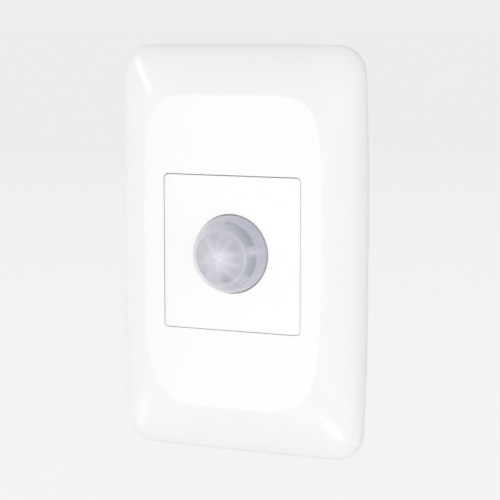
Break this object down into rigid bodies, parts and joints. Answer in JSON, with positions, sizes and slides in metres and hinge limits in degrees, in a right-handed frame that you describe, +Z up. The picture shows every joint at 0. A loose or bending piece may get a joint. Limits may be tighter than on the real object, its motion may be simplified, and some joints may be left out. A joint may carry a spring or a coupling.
{
  "type": "motion sensor light switch",
  "caption": "Wall-mounted motion sensor light switch: glossy white cover plate, square sensor face with a milky lens dome, and a relay module with screw terminals on a frame behind it",
  "frame": {"origin": "the middle of the support frame's rear face, on the plane of the wall", "axes": "+Y into the wall, -Y out to the room, +Z up, +X to the right as seen from the room"},
  "size_m": [0.0774, 0.0441, 0.1202],
  "materials": {
    "white_plastic": "glossy moulded white plastic",
    "lens_plastic": "milky translucent plastic",
    "frame_plastic": "satin grey moulded plastic",
    "housing_plastic": "satin off-white moulded plastic",
    "zinc_steel": "zinc-plated steel",
    "board": "green solder mask",
    "detector_steel": "nickel-plated steel",
    "filter_window": "dark coated window",
    "sensing_ceramic": "pale ceramic",
    "lamp": "clear red plastic",
    "black_plastic": "black moulded plastic",
    "spacer_plastic": "natural nylon",
    "coil_copper": "lacquered copper wire",
    "soft_iron": "plated soft iron",
    "contact_metal": "bare copper alloy",
    "relay_plastic": "blue moulded plastic",
    "film_yellow": "yellow moulded case",
    "sleeve_blue": "dark blue sleeve",
    "varistor_blue": "blue dipped coating",
    "fuse_brown": "brown moulded case",
    "block_plastic": "grey moulded plastic",
    "clamp_brass": "bare brass",
    "trimmer_plastic": "blue moulded plastic",
    "knob_plastic": "orange moulded plastic",
    "switch_metal": "plated steel case"
  },
  "bodies": {
    "base": {"sensor_face": "white_plastic", "fresnel_lens": "lens_plastic", "support_frame": "frame_plastic", "module_housing": "housing_plastic", "lens_retainer": "housing_plastic", "fixing_screws": "zinc_steel", "closing_screws": "zinc_steel", "sensor_board": "board", "main_board": "board", "pir_base": "detector_steel", "pir_can": "detector_steel", "pir_filter": "filter_window", "pir_element": "sensing_ceramic", "light_sensor": "sensing_ceramic", "status_led": "lamp", "detector_chip": "black_plastic", "driver_chip": "black_plastic", "board_connector": "black_plastic", "rectifier_diodes": "black_plastic", "relay_base": "black_plastic", "board_spacers": "spacer_plastic", "relay_coil": "coil_copper", "relay_yoke": "soft_iron", "relay_contacts": "contact_metal", "terminal_bar_1": "contact_metal", "terminal_bar_2": "contact_metal", "terminal_bar_3": "contact_metal", "relay_cover": "relay_plastic", "film_capacitor": "film_yellow", "storage_capacitor": "sleeve_blue", "varistor": "varistor_blue", "fuse": "fuse_brown", "terminal_block_1": "block_plastic", "terminal_block_2": "block_plastic", "terminal_block_3": "block_plastic", "time_trimmer": "trimmer_plastic", "light_trimmer": "trimmer_plastic", "mode_switch": "switch_metal"},
    "plate": {"cover_plate": "white_plastic"},
    "time_dial": {"time_knob": "knob_plastic"},
    "light_dial": {"light_knob": "knob_plastic"},
    "selector": {"mode_slider": "black_plastic"},
    "armature": {"relay_armature": "soft_iron"},
    "clamp_screw_1": {"terminal_screw_1": "zinc_steel"},
    "clamp_cage_1": {"terminal_cage_1": "clamp_brass"},
    "clamp_screw_2": {"terminal_screw_2": "zinc_steel"},
    "clamp_cage_2": {"terminal_cage_2": "clamp_brass"},
    "clamp_screw_3": {"terminal_screw_3": "zinc_steel"},
    "clamp_cage_3": {"terminal_cage_3": "clamp_brass"}
  },
  "joints": [
    {"name": "plate_pull", "type": "slide", "parent": "base", "child": "plate", "axis": [0, -1, 0], "range_m": [0, 0.025]},
    {"name": "time_turn", "type": "hinge", "parent": "base", "child": "time_dial", "pos_m": [-0.0065, 0.0224, -0.01455], "axis": [0, 1, 0], "range_deg": [-120, 120]},
    {"name": "light_turn", "type": "hinge", "parent": "base", "child": "light_dial", "pos_m": [0.0065, 0.0224, -0.01455], "axis": [0, 1, 0], "range_deg": [-120, 120]},
    {"name": "mode_slide", "type": "slide", "parent": "base", "child": "selector", "axis": [1, 0, 0], "range_m": [-0.002, 0.002]},
    {"name": "armature_swing", "type": "hinge", "parent": "base", "child": "armature", "pos_m": [-0.00345, 0.0187, 0.0056], "axis": [0, 0, -1], "range_deg": [0, 4.2], "stiffness_Nm_per_rad": 0.002, "springref_deg": -5.73},
    {"name": "clamp_turn_1", "type": "hinge", "parent": "base", "child": "clamp_screw_1", "pos_m": [-0.01425, 0.0184, 0.0151], "axis": [0, -1, 0], "range_deg": [0, 1440]},
    {"name": "clamp_close_1", "type": "slide", "parent": "base", "child": "clamp_cage_1", "axis": [0, 1, 0], "range_m": [0, 0.002]},
    {"name": "clamp_turn_2", "type": "hinge", "parent": "base", "child": "clamp_screw_2", "pos_m": [-0.00675, 0.0184, 0.0151], "axis": [0, -1, 0], "range_deg": [0, 1440]},
    {"name": "clamp_close_2", "type": "slide", "parent": "base", "child": "clamp_cage_2", "axis": [0, 1, 0], "range_m": [0, 0.002]},
    {"name": "clamp_turn_3", "type": "hinge", "parent": "base", "child": "clamp_screw_3", "pos_m": [0.00075, 0.0184, 0.0151], "axis": [0, -1, 0], "range_deg": [0, 1440]},
    {"name": "clamp_close_3", "type": "slide", "parent": "base", "child": "clamp_cage_3", "axis": [0, 1, 0], "range_m": [0, 0.002]}
  ],
  "couplings": [
    {"joint": "clamp_turn_1", "follows": "clamp_close_1", "rad_per_m": 12566},
    {"joint": "clamp_turn_2", "follows": "clamp_close_2", "rad_per_m": 12566},
    {"joint": "clamp_turn_3", "follows": "clamp_close_3", "rad_per_m": 12566}
  ]
}
